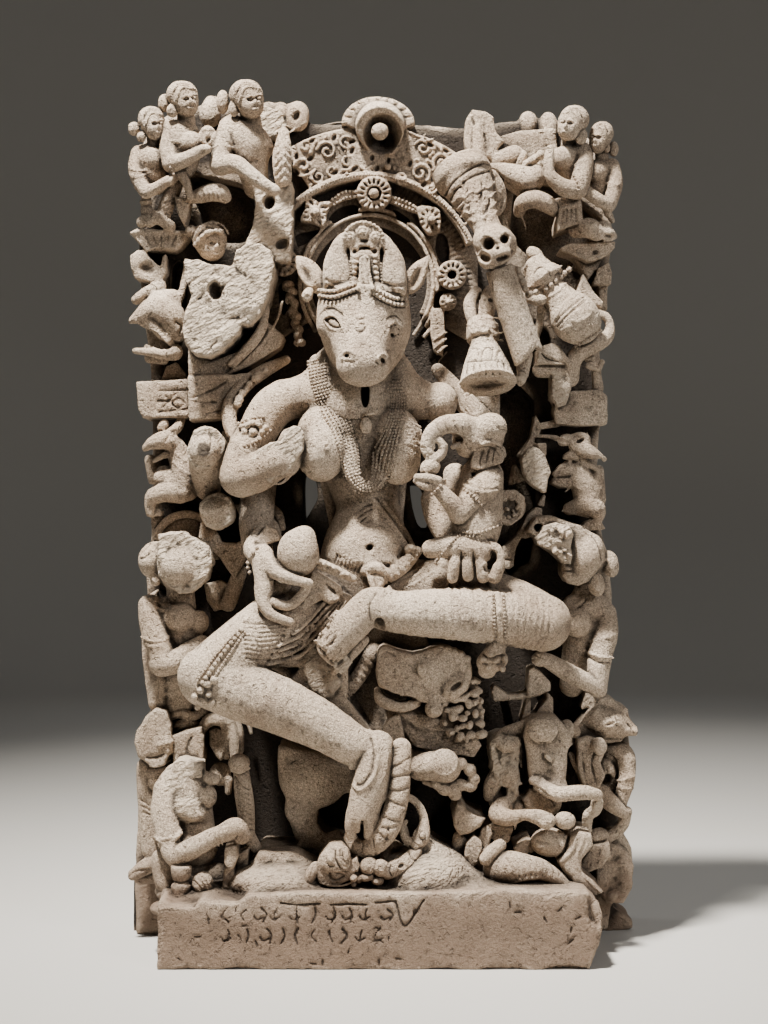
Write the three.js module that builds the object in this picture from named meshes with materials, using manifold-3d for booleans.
// A carved sandstone stele of a bull-headed yogini, in one block: slab, base, halo, goddess, mount and attendants.
// Millimetres, +Z up, facing -Y. The origin is on the underside, in the middle of the base's depth.
import * as THREE from "three";
import { mergeVertices } from "three/addons/utils/BufferGeometryUtils.js";
import Module from "manifold-3d";

const wasm = await Module();
wasm.setup();

// Driving dimensions, in millimetres.
const BASE_WIDTH = 670;
const BASE_DEPTH = 385;
const VIEW_DISTANCE = 2900;

// The carving is drawn as a carver's front elevation on a 768 by 1024 sheet, seen from VIEW_DISTANCE.
// A joint is [column, row, out, radius] in sheet points, where out is measured forward from the slab's back.
const SHEET_BASE = { left: 157, right: 603, ledge: 893, underside: 970 };
const SHEET_CENTRE = { column: 383, row: 512 };
const POINT = BASE_WIDTH / (SHEET_BASE.right - SHEET_BASE.left);
const FRONT = BASE_DEPTH / POINT;
const DISTANCE = VIEW_DISTANCE / POINT;
const EYE = (SHEET_BASE.underside - SHEET_CENTRE.row) * POINT;
const GROUND = 75;
const CORNER = 97;
const STOUT_SIDES = 8;

// How much larger a thing is carved for each point that it lies behind the base's front.
const spread = (out) => 1 + (FRONT - out) / DISTANCE;

// A sheet point carried back along the sight line to its own depth.
const at = ([column, row, out]) =>
  new THREE.Vector3(
    (column - SHEET_CENTRE.column) * POINT * spread(out),
    (FRONT / 2 - out) * POINT,
    EYE + (SHEET_CENTRE.row - row) * POINT * spread(out),
  );

// A polygon's reach past its circle, so that it holds the circle's area.
const plump = (sides) => Math.sqrt((2 * Math.PI) / (sides * Math.sin((2 * Math.PI) / sides)));

// A closed three.js geometry as a solid.
function solid(geometry) {
  for (const name of ["normal", "uv"]) geometry.deleteAttribute(name);
  const merged = mergeVertices(geometry, 1e-3);
  return new wasm.Manifold(
    new wasm.Mesh({
      numProp: 3,
      vertProperties: merged.attributes.position.array,
      triVerts: new Uint32Array(merged.index.array),
    }),
  );
}

// A limb: a sphere's rings carried along the joints, each ring with its joint's radius, and closed at both ends.
// A stout limb has one more ring at each end, which rounds it.
function limb(joints, { sides = 5, flat = 1 } = {}) {
  const centres = joints.map(at);
  const radii = joints.map(([, , out, radius]) => radius * POINT * spread(out) * plump(sides));
  const last = joints.length - 1;
  const along = centres.map((_, i) =>
    centres[Math.min(i + 1, last)].clone().sub(centres[Math.max(i - 1, 0)]).normalize(),
  );
  const cap = (i, step, share) => ({
    centre: centres[i].clone().addScaledVector(along[i], step * radii[i]),
    radius: radii[i] * share,
    along: along[i],
  });
  const stout = sides >= STOUT_SIDES;
  const rings = [
    cap(0, -0.9, 0),
    ...(stout ? [cap(0, -0.6, 0.75)] : []),
    ...centres.map((centre, i) => ({ centre, radius: radii[i], along: along[i] })),
    ...(stout ? [cap(last, 0.6, 0.75)] : []),
    cap(last, 0.9, 0),
  ];
  const skin = new THREE.SphereGeometry(1, sides, rings.length - 1);
  const place = skin.attributes.position;
  const forward = new THREE.Vector3(0, -1, 0);
  const spare = new THREE.Vector3(1, 0, 0);
  for (let i = 0; i < place.count; i++) {
    const ring = rings[Math.floor(i / (sides + 1))];
    const angle = ((i % (sides + 1)) / sides) * 2 * Math.PI;
    const up = Math.abs(ring.along.y) > 0.95 ? spare : forward;
    const across = ring.along.clone().cross(up).normalize();
    const out = across.clone().cross(ring.along).normalize();
    const point = ring.centre
      .clone()
      .addScaledVector(across, Math.cos(angle) * ring.radius)
      .addScaledVector(out, Math.sin(angle) * ring.radius * flat);
    place.setXYZ(i, point.x, point.y, point.z);
  }
  return solid(skin);
}

// An egg: half sizes across, up and deep in sheet points, turned in the sheet by turn degrees.
function egg(centre, [wide, high, deep], { turn = 0, sides = 6, rings = 3 } = {}) {
  const size = POINT * spread(centre[2]) * Math.sqrt(plump(sides));
  const shape = new THREE.SphereGeometry(1, sides, rings).rotateX(Math.PI / 2);
  shape.scale(wide * size, deep * size, high * size).rotateY(THREE.MathUtils.degToRad(turn));
  const { x, y, z } = at(centre);
  return solid(shape.translate(x, y, z));
}

// A plate: an outline in the sheet, cut straight back from front to back.
function plate(outline, back, front) {
  const points = outline.map(([column, row]) => at([column, row, front]));
  const shape = new THREE.Shape(points.map((p) => new THREE.Vector2(p.x, p.z)));
  const depth = (front - back) * POINT;
  const block = new THREE.ExtrudeGeometry(shape, { depth, bevelEnabled: false, steps: 1 });
  block.rotateX(Math.PI / 2).translate(0, points[0].y + depth, 0);
  return solid(block);
}

// A turned form: radii at stations along the line from one joint to another.
function turned(from, to, profile, sides = 8) {
  const [start, end] = [at(from), at(to)];
  const axis = end.clone().sub(start);
  const size = POINT * spread(from[2]);
  const line = profile.map(([share, radius]) => new THREE.Vector2(radius * size, share * axis.length()));
  const whole = [new THREE.Vector2(0, line[0].y), ...line, new THREE.Vector2(0, line.at(-1).y)];
  const shape = new THREE.LatheGeometry(whole, sides);
  const turn = new THREE.Quaternion().setFromUnitVectors(
    new THREE.Vector3(0, 1, 0),
    axis.normalize(),
  );
  return solid(shape.applyQuaternion(turn).translate(start.x, start.y, start.z));
}

// A broken stump: a round form that comes straight out of the slab and ends in a flat break.
const stump = ([column, row, out], [wide, high], sides = 8) =>
  plate(
    Array.from({ length: sides }, (_, i) => {
      const angle = ((i + 0.5) / sides) * 2 * Math.PI;
      return [column + wide * Math.cos(angle), row + high * Math.sin(angle)];
    }),
    GROUND - 20,
    out,
  );

// An arc's outline in the sheet, from one radius to another.
function arc([column, row], inner, outer, fromDegrees, toDegrees, steps) {
  const edge = (radius, i) => {
    const angle = THREE.MathUtils.degToRad(fromDegrees + ((toDegrees - fromDegrees) * i) / steps);
    return [column + radius * Math.cos(angle), row - radius * Math.sin(angle)];
  };
  const count = Array.from({ length: steps + 1 }, (_, i) => i);
  return [...count.map((i) => edge(outer, i)), ...count.reverse().map((i) => edge(inner, i))];
}

// Limb radii as shares of a figure's size, which is half the height of its head.
const BUILD = {
  neck: 0.45,
  chest: 0.9,
  hip: 0.85,
  arm: [0.5, 0.42, 0.36],
  leg: [0.74, 0.56, 0.38],
};

const withRadii = (joints, shares, size) => joints.map((joint, i) => [...joint, shares[i] * size]);

// A small attendant: head, trunk, backing to the slab, arms and legs, each limb a chain of joints.
function attendant({ size, head, bun, chest, hip, arms = [], legs = [], bust }) {
  const backing = [(chest[0] + hip[0]) / 2, (chest[1] + hip[1]) / 2, (chest[2] + hip[2]) / 2];
  const neck = head ? [[...head, size * BUILD.neck]] : [];
  const forms = [
    stump(backing, [size * 0.75, size * 1.6], 6),
    limb([...neck, [...chest, size * BUILD.chest], [...hip, size * BUILD.hip]], { flat: 0.8 }),
  ];
  if (head) forms.push(egg(head, [size * 0.86, size, size * 0.9]));
  if (bun) forms.push(egg(bun, [size * 0.45, size * 0.6, size * 0.5]));
  if (bust) forms.push(egg(bust, [size * 0.55, size * 0.55, size * 0.5]));
  for (const joints of arms) forms.push(limb(withRadii(joints, BUILD.arm, size)));
  for (const joints of legs) forms.push(limb(withRadii(joints, BUILD.leg, size)));
  return forms;
}

// The slab, with the true outline of its broken edge, and the thicker stone at its lower corners.
function slab() {
  const outline = [
    [136, 935], [134, 880], [138, 800], [140, 730], [152, 705], [150, 640], [146, 575], [152, 520],
    [152, 425], [150, 370], [142, 300], [138, 250], [142, 190], [140, 150], [160, 118], [205, 104],
    [262, 105], [300, 121], [345, 124], [415, 124], [466, 127], [517, 120], [560, 122], [598, 146],
    [612, 185], [610, 260], [600, 330], [603, 400], [598, 450], [600, 520], [610, 570], [612, 640],
    [602, 700], [628, 730], [630, 790], [620, 826], [632, 852], [632, 884], [612, 906], [606, 935],
  ];
  const leftFoot = [[136, 935], [134, 884], [172, 860], [172, 935]];
  const rightFoot = [[594, 930], [596, 840], [620, 828], [633, 852], [633, 884], [612, 906], [608, 930]];
  return {
    body: plate(outline, 0, GROUND),
    leftFoot: plate(leftFoot, 0, CORNER),
    rightFoot: plate(rightFoot, 0, CORNER),
  };
}

// The base: a block with a chipped right corner, and the rocky ground on its ledge.
function base() {
  const { left, right, ledge, underside } = SHEET_BASE;
  const block = [
    [left, underside], [left, ledge + 9], [left + 9, ledge + 14], [left + 37, ledge + 15], [left + 43, ledge + 8],
    [left + 81, ledge + 11], [left + 90, ledge + 3], [right - 15, ledge], [right - 3, ledge + 12], [right, ledge + 24],
    [right - 2, ledge + 48], [right - 14, underside],
  ];
  const leftRock = [[258, 852], [296, 853], [318, 866], [330, 896], [238, 896], [246, 874]];
  const rightRock = [[404, 862], [426, 840], [456, 858], [476, 872], [500, 896], [380, 896]];
  return {
    block: plate(block, 0, FRONT),
    leftRock: plate(leftRock, 60, 190),
    rightRock: plate(rightRock, 60, 198),
    leftGround: egg([286, 878, 170], [56, 20, 60], { sides: 7, rings: 4 }),
    rightGround: egg([425, 876, 170], [48, 28, 60], { sides: 7, rings: 4 }),
    rightSlope: egg([470, 886, 180], [36, 14, 50]),
    farGround: egg([540, 886, 150], [50, 16, 60]),
  };
}

// The halo: an inner ring, a beaded outer ring, a band of leaves and a parasol above.
function halo() {
  const centre = [369, 284];
  return {
    innerRing: plate(arc(centre, 66, 76, -35, 215, 10), GROUND - 10, 100),
    outerRing: plate(arc(centre, 104, 113, 25, 155, 7), GROUND - 10, 100),
    ground: plate(arc(centre, 78, 102, 20, 160, 6), GROUND - 10, 84),
    leafBand: plate(arc(centre, 115, 161, 55, 125, 5), GROUND - 10, 94),
    parasol: plate(arc([379, 131], 0.5, 36, 0, 180, 7), GROUND - 20, 102),
    parasolLip: plate(arc([379, 133], 0.5, 23, 0, 180, 5), GROUND - 20, 120),
    ball: egg([380, 132, 122], [10, 10, 10]),
  };
}

// The goddess's bull head, with its horns, crest, ears and muzzle.
function bullHead() {
  return {
    skull: egg([361, 316, 188], [46, 38, 42], { sides: 8, rings: 5 }),
    face: limb([[361, 318, 196, 40], [362, 345, 212, 29], [363, 364, 226, 23]], { sides: 8, flat: 0.8 }),
    muzzle: egg([363, 367, 230], [27, 17, 18], { sides: 8, rings: 4 }),
    leftHorn: limb([[338, 284, 195, 18], [335, 262, 198, 17], [352, 240, 195, 12]]),
    rightHorn: limb([[392, 286, 195, 18], [394, 262, 198, 17], [374, 240, 195, 12]]),
    crestTop: egg([363, 240, 200], [17, 17, 12]),
    crest: egg([363, 274, 200], [12, 26, 26]),
    leftEar: limb([[324, 290, 185, 9], [309, 280, 180, 12], [300, 263, 176, 3]], { flat: 0.5 }),
    rightEar: limb([[404, 292, 185, 9], [416, 280, 180, 12], [425, 263, 176, 3]], { flat: 0.5 }),
    neck: limb([[362, 330, 165, 38], [362, 400, 150, 36]], { sides: 6 }),
  };
}

// The goddess's trunk, arms and legs.
function goddess() {
  const folded = [[420, 598, 150, 30], [545, 612, 178, 31], [556, 626, 186, 26]];
  const foldedShin = [[550, 628, 196, 26], [460, 622, 208, 27], [392, 612, 215, 23], [368, 602, 216, 19]];
  return {
    trunk: limb([[358, 412, 140, 50], [358, 448, 146, 50], [366, 506, 146, 35], [366, 552, 146, 44]], { sides: 8, flat: 0.8 }),
    backing: plate([[306, 392], [424, 392], [408, 470], [402, 530], [420, 600], [310, 600], [330, 530], [318, 470]], 60, 138),
    shoulders: limb([[296, 404, 150, 22], [356, 412, 150, 34], [424, 406, 150, 22]], { sides: 7, flat: 0.9 }),
    leftBreast: egg([322, 452, 182], [26, 28, 22]),
    rightBreast: egg([394, 451, 182], [25, 28, 22]),
    hips: limb([[300, 592, 130, 32], [365, 585, 130, 36], [425, 590, 130, 32]], { sides: 7 }),
    brokenArm: limb([[284, 402, 150, 23], [240, 466, 172, 23], [282, 456, 198, 20]], { sides: 7 }),
    brokenArmEnd: stump([278, 455, 208], [25, 24]),
    lowerArm: limb([[262, 470, 105, 15], [258, 520, 120, 17], [262, 552, 165, 14], [272, 572, 192, 13], [300, 574, 198, 12]]),
    fruit: egg([298, 550, 208], [20, 24, 20]),
    thumb: limb([[258, 560, 192, 8], [264, 600, 205, 7], [290, 618, 205, 5]]),
    fingers: limb([[266, 580, 195, 9], [300, 586, 205, 7], [294, 608, 200, 5]]),
    childArm: limb([[430, 408, 148, 22], [486, 470, 140, 20], [470, 545, 190, 14]], { sides: 7 }),
    raisedArm: limb([[440, 400, 120, 17], [480, 350, 140, 15], [484, 305, 160, 13]]),
    hangingThigh: limb([[318, 598, 150, 32], [214, 668, 196, 31], [204, 678, 200, 28]], { sides: 7 }),
    hangingShin: limb([[212, 676, 206, 30], [290, 712, 214, 27], [362, 746, 218, 22]], { sides: 7 }),
    hangingFoot: limb([[372, 752, 220, 20], [370, 795, 222, 23], [362, 830, 228, 18]], { sides: 7, flat: 0.75 }),
    foldedThigh: limb(folded, { sides: 7 }),
    foldedShin: limb(foldedShin, { sides: 7 }),
    foldedFoot: limb([[368, 602, 216, 16], [345, 632, 218, 16], [326, 660, 218, 12]], { flat: 0.8 }),
    lap: plate([[262, 600], [400, 588], [425, 650], [384, 738], [322, 704], [240, 655]], GROUND - 10, 168),
  };
}

// The elephant-headed child on her lap, and the hand that steadies it.
function child() {
  const finger = (column, tip) => limb([[column, 552, 212, 6], [column - 2, tip, 208, 5.5]]);
  return {
    head: egg([480, 431, 208], [27, 20, 20]),
    elephantTrunk: limb([[462, 424, 210, 13], [434, 430, 212, 12], [424, 448, 212, 9], [440, 458, 212, 8]]),
    cheek: egg([487, 461, 212], [17, 14, 14]),
    body: limb([[488, 478, 196, 19], [488, 510, 188, 20], [482, 538, 190, 22]], { sides: 7 }),
    arm: limb([[494, 482, 206, 13], [462, 516, 212, 13], [434, 490, 214, 9]]),
    hand: egg([427, 479, 214], [10, 12, 9]),
    thighs: limb([[500, 546, 200, 15], [436, 546, 205, 14]]),
    backing: egg([486, 510, 150], [20, 40, 40]),
    fingers: [[452, 576], [467, 580], [481, 580], [496, 578]].map(([column, tip]) => finger(column, tip)),
  };
}

// The skull-topped staff, the bell, and the pot, on the goddess's left.
function emblems() {
  const rim = [463, 173, 196];
  const skull = [495, 248, 222];
  const cup = [[0, 27], [0.1, 30], [0.2, 25], [0.8, 14], [1, 14]];
  const bell = [[0, 8], [0.25, 18], [0.8, 24], [1, 31]];
  const pot = [[0, 10], [0.15, 22], [0.3, 21], [0.42, 13], [0.7, 28], [1, 20], [1.12, 8]];
  return {
    cup: turned(rim, skull, cup),
    skull: egg(skull, [20, 21, 19]),
    shaft: limb([[498, 262, 214, 15], [528, 358, 200, 15]], { sides: 7 }),
    cupStrut: limb([[478, 222, 60, 20], [482, 232, 200, 14]]),
    shaftStrut: limb([[524, 330, 60, 17], [522, 335, 190, 14]]),
    bell: turned([487, 334, 172], [489, 384, 176], bell),
    bellTop: egg([485, 322, 168], [16, 13, 14]),
    bellBacking: egg([486, 350, 125], [22, 34, 50]),
    pot: turned([536, 268, 142], [586, 322, 142], pot),
    potBacking: egg([566, 312, 105], [24, 24, 36]),
  };
}

// The lion-like mount behind the goddess's foot.
function mount() {
  return {
    head: egg([430, 678, 180], [44, 30, 30], { sides: 8, rings: 5 }),
    snout: egg([397, 673, 186], [22, 26, 24]),
    jaw: limb([[386, 698, 178, 8], [418, 704, 174, 11]]),
    mane: egg([458, 708, 168], [24, 27, 26]),
    shoulder: egg([446, 736, 140], [38, 26, 42]),
    foreleg: limb([[424, 766, 160, 18], [448, 768, 184, 17], [464, 784, 194, 12]]),
    body: egg([390, 745, 105], [105, 50, 45], { sides: 8, rings: 5 }),
    hindLeg: limb([[312, 775, 145, 29], [296, 806, 155, 17], [322, 846, 165, 12]], { sides: 7 }),
    ear: egg([456, 690, 196], [13, 9, 9], { turn: 30 }),
  };
}

// The petalled footrest, the makara head and the serpent that curls round the foot.
function footrest() {
  const petals = [[402, 750, 198, 10], [409, 790, 202, 10], [399, 826, 205, 10], [374, 848, 210, 9], [350, 853, 214, 8]];
  const serpent = [
    [355, 870, 226, 8], [385, 873, 226, 9], [409, 858, 222, 9], [423, 832, 218, 8], [418, 807, 210, 6], [408, 796, 200, 5],
  ];
  return {
    petals: limb(petals, { flat: 1.6 }),
    serpent: limb(serpent),
    makara: egg([334, 867, 228], [27, 19, 18]),
    petalStrut: limb([[394, 800, 130, 22], [394, 800, 190, 12]]),
    serpentStrut: limb([[405, 846, 150, 16], [408, 850, 212, 10]]),
  };
}

// The flying couples in the upper corners, on their lotus seats.
function celestials() {
  const lotus = [[0, 30], [0.25, 29], [1, 12]];
  return {
    leftRear: attendant({
      size: 14, head: [152, 124, 122], bun: [141, 131, 118], chest: [148, 162, 112], hip: [150, 206, 106],
      arms: [[[138, 158, 116], [143, 190, 126], [170, 181, 134]]],
      legs: [[[150, 214, 108], [166, 220, 124], [182, 223, 124]]],
    }),
    leftMiddle: attendant({
      size: 18, head: [184, 99, 148], bun: [167, 108, 138], chest: [180, 138, 138], hip: [192, 180, 122],
      arms: [[[169, 136, 146], [172, 166, 156], [209, 145, 164]]],
      legs: [[[194, 186, 130], [222, 193, 148]]],
    }),
    leftFront: attendant({
      size: 22, head: [249, 98, 164], bun: [227, 103, 158], chest: [245, 136, 152], hip: [256, 186, 138],
      arms: [[[231, 132, 164], [222, 168, 172], [276, 190, 182]]],
    }),
    rightInner: attendant({
      size: 17, head: [571, 124, 148], bun: [583, 136, 140], chest: [572, 160, 136], hip: [572, 206, 124],
      arms: [[[584, 158, 146], [577, 192, 156], [548, 156, 164]]],
      legs: [[[570, 222, 122], [538, 208, 140], [526, 226, 134]]],
    }),
    rightOuter: attendant({
      size: 15, head: [601, 142, 126], bun: [613, 152, 120], chest: [603, 178, 114], hip: [600, 222, 108],
      arms: [[[614, 178, 120], [613, 210, 128], [589, 195, 134]]],
    }),
    lap: egg([514, 148, 108], [28, 26, 36]),
    brokenArm: limb([[532, 154, 140, 11], [534, 185, 152, 12], [494, 170, 162, 8]]),
    knob: egg([484, 132, 92], [17, 20, 22]),
    whisk: limb([[272, 124, 134, 8], [283, 150, 142, 11], [289, 184, 142, 9]], { flat: 1.6 }),
    lobe: limb([[297, 112, 66, 9], [300, 130, 74, 9]]),
    scarf: limb([[180, 178, 140, 10], [183, 220, 138, 5]], { flat: 1.4 }),
    leftLotus: turned([160, 228, 104], [162, 252, 98], lotus, 7),
    rightLotus: turned([588, 242, 102], [588, 264, 96], lotus, 7),
  };
}

// The shield and the other broken emblems on the goddess's right, and the stumps of lost arms.
function breaks() {
  const shield = [
    [186, 257], [235, 248], [253, 243], [273, 253], [274, 280], [264, 301], [254, 320], [237, 331], [221, 350],
    [201, 356], [186, 340], [184, 322], [192, 298],
  ];
  const mass = [[252, 184], [292, 182], [293, 225], [276, 250], [244, 262], [232, 240], [246, 212]];
  return {
    shield: plate(shield, GROUND - 10, 168),
    mass: plate(mass, GROUND - 10, 150),
    shieldBacking: plate([[190, 330], [262, 318], [282, 372], [190, 378]], GROUND - 10, 120),
    curlyHead: egg([210, 243, 138], [20, 20, 18]),
    curlyHeadBacking: egg([210, 243, 105], [14, 14, 36]),
    upperLeft: stump([206, 448, 168], [18, 21]),
    lowerLeft: stump([217, 511, 150], [18, 20]),
    upperRight: stump([535, 470, 160], [14, 21]),
    lowerRight: stump([511, 507, 148], [17, 18]),
  };
}

// The throne's crossbar ends, and the beasts above and below them at both edges.
function beasts() {
  return {
    leftLedge: plate([[137, 381], [190, 379], [190, 417], [139, 417]], GROUND - 10, 112),
    leftLedgeFront: plate([[188, 377], [254, 376], [246, 400], [226, 420], [189, 421]], GROUND - 10, 132),
    rightLedge: plate([[556, 392], [607, 391], [607, 426], [548, 428]], GROUND - 10, 112),
    brokenFan: egg([148, 268, 92], [17, 15, 24]),
    snout: limb([[176, 306, 108, 17], [154, 310, 114, 14], [136, 320, 114, 7]]),
    jaw: limb([[174, 350, 100, 10], [140, 352, 106, 5]]),
    neck: limb([[182, 300, 90, 14], [178, 350, 90, 14]]),
    upperClaw: limb([[186, 428, 112, 9], [166, 444, 122, 11], [147, 450, 122, 6]]),
    lowerClaw: limb([[176, 462, 112, 6], [154, 463, 116, 4]]),
    leftBody: limb([[188, 446, 92, 16], [182, 486, 92, 22]]),
    leftLeg: limb([[180, 492, 112, 13], [151, 496, 122, 9], [150, 512, 122, 5]]),
    potBacking: egg([578, 358, 104], [24, 24, 40]),
    handle: limb([[588, 352, 112, 10], [605, 340, 114, 7], [606, 322, 112, 5]]),
    beak: limb([[536, 437, 90, 4], [562, 438, 104, 5], [588, 438, 112, 4]]),
    rightHead: limb([[572, 448, 102, 12], [588, 452, 118, 10], [603, 461, 118, 6]]),
    rightJaw: limb([[580, 466, 110, 5], [598, 472, 114, 4]]),
    rightBody: limb([[572, 460, 90, 16], [578, 506, 92, 20]]),
    rightLeg: limb([[584, 508, 110, 11], [602, 511, 120, 8], [600, 526, 118, 5]]),
  };
}

// The attendants beside the goddess's knees, each under a plain nimbus.
function bearers() {
  return {
    leftNimbus: plate(arc([203, 556], 0.5, 48, 0, 180, 8), GROUND - 10, 92),
    rightNimbus: plate(arc([552, 556], 0.5, 48, 0, 180, 8), GROUND - 10, 92),
    leftBearer: attendant({
      size: 24, chest: [172, 614, 124], hip: [172, 682, 114], bust: [188, 614, 146],
      arms: [[[154, 608, 132], [160, 666, 142], [212, 642, 152]]],
    }),
    leftHead: egg([162, 562, 122], [22, 26, 24]),
    leftBreak: stump([185, 565, 158], [26, 29]),
    rightBearer: attendant({
      size: 27, chest: [590, 618, 128], hip: [584, 680, 112], bust: [572, 620, 146],
      arms: [[[604, 614, 138], [607, 686, 150], [542, 660, 162]]],
    }),
    rightNeck: limb([[588, 560, 140, 12], [586, 610, 130, 12]]),
    rightHead: egg([582, 560, 146], [29, 32, 28]),
    rightBreak: egg([551, 541, 140], [22, 25, 40]),
    hairKnot: egg([605, 565, 136], [11, 18, 14]),
    earring: egg([594, 583, 168], [11, 11, 6]),
  };
}

// The crowded figures in the lower corners.
function lowerFigures() {
  return {
    standingHead: stump([153, 738, 140], [19, 29]),
    standingLeg: limb([[152, 768, 108, 17], [150, 815, 110, 13], [148, 850, 112, 11]]),
    standingFoot: limb([[152, 858, 114, 10], [134, 871, 124, 8]]),
    lady: attendant({
      size: 21, chest: [184, 786, 158], hip: [196, 850, 158], bust: [194, 804, 174],
      arms: [
        [[163, 792, 168], [170, 852, 184], [238, 834, 206]],
        [[206, 778, 160], [223, 784, 170]],
      ],
      legs: [
        [[186, 862, 180], [182, 876, 194], [181, 906, 206]],
        [[214, 860, 178], [228, 872, 194], [228, 902, 206]],
      ],
    }),
    ladyNeck: limb([[188, 770, 150, 15], [187, 744, 146, 16]]),
    clubKnob: egg([240, 764, 160], [11, 10, 11]),
    club: limb([[240, 768, 158, 10], [243, 800, 160, 11], [247, 830, 166, 8]]),
    hanging: limb([[226, 716, 84, 8], [236, 758, 136, 9]]),
    drop: egg([214, 738, 100], [15, 25, 34]),
    dropLoop: limb([[212, 714, 124, 8], [202, 726, 124, 7], [203, 742, 122, 5]]),
    clubBacking: egg([238, 806, 100], [22, 62, 66]),
    brokenFigure: egg([505, 764, 160], [18, 30, 22]),
    brokenFigureArm: limb([[500, 780, 160, 11], [492, 792, 168, 9]]),
    elephantBacking: egg([540, 790, 115], [50, 62, 55], { sides: 8, rings: 5 }),
    elephantShoulders: egg([548, 730, 160], [34, 15, 18]),
    elephantTorso: limb([[548, 738, 178, 23], [550, 772, 182, 19], [566, 790, 190, 12], [598, 793, 190, 9]]),
    elephantArm: limb([[588, 742, 162, 13], [592, 778, 170, 10]]),
    crossedArm: limb([[498, 824, 172, 15], [520, 812, 186, 13], [552, 824, 190, 9]]),
    ball: egg([566, 820, 190], [10, 10, 9]),
    belly: egg([550, 838, 168], [24, 20, 22]),
    kneelingLeg: limb([[506, 864, 204, 20], [544, 868, 208, 16], [574, 884, 208, 10], [598, 893, 202, 6]]),
    leaves: limb([[466, 812, 110, 15], [468, 862, 122, 16]]),
    bearHead: limb([[590, 722, 128, 20], [614, 722, 134, 18], [632, 731, 130, 8]]),
    kneeler: egg([614, 766, 98], [22, 36, 42]),
    bearBacking: egg([604, 726, 92], [26, 18, 40]),
    kneelerArm: limb([[625, 758, 122, 11], [622, 810, 134, 9], [604, 796, 144, 8]]),
  };
}

// The two pierced openings beside her waist, each from the slab's back to the space in front of it.
function piercings() {
  const left = [[299, 470], [312, 480], [314, 498], [308, 508], [299, 523], [297, 490]];
  const right = [[412, 482], [424, 496], [433, 518], [431, 532], [420, 518], [413, 502]];
  return [plate(left, -10, 112), plate(right, -10, 112)];
}

const stone = new THREE.MeshStandardMaterial({ color: "#b39a80", roughness: 0.92, metalness: 0 });

// Joins the carving into one block, trims it flat underneath and behind, and fills any pocket sealed inside.
function carve() {
  const groups = [
    slab(), base(), halo(), bullHead(), goddess(), child(), emblems(), mount(), footrest(), celestials(),
    breaks(), beasts(), bearers(), lowerFigures(),
  ];
  const forms = groups.flatMap((group) => Object.values(group)).flat();
  const below = new THREE.BoxGeometry(BASE_WIDTH * 2, BASE_DEPTH * 2, 200).translate(0, 0, -100);
  const behind = new THREE.BoxGeometry(BASE_WIDTH * 2, 200, 4000).translate(0, BASE_DEPTH / 2 + 100, 0);
  const cuts = wasm.Manifold.union([solid(below), solid(behind), ...piercings()]);
  const block = wasm.Manifold.union(forms).subtract(cuts);
  return block.decompose().reduce((outer, body) => (body.volume() > outer.volume() ? body : outer));
}

function geometryOf(manifold) {
  const { vertProperties, triVerts } = manifold.getMesh();
  return new THREE.BufferGeometry()
    .setAttribute("position", new THREE.BufferAttribute(vertProperties, 3))
    .setIndex(new THREE.BufferAttribute(triVerts, 1));
}

const stele = new THREE.Mesh(geometryOf(carve()), stone);
stele.name = "yogini_stele";

const yogini = new THREE.Group();
yogini.add(stele);

export default yogini;
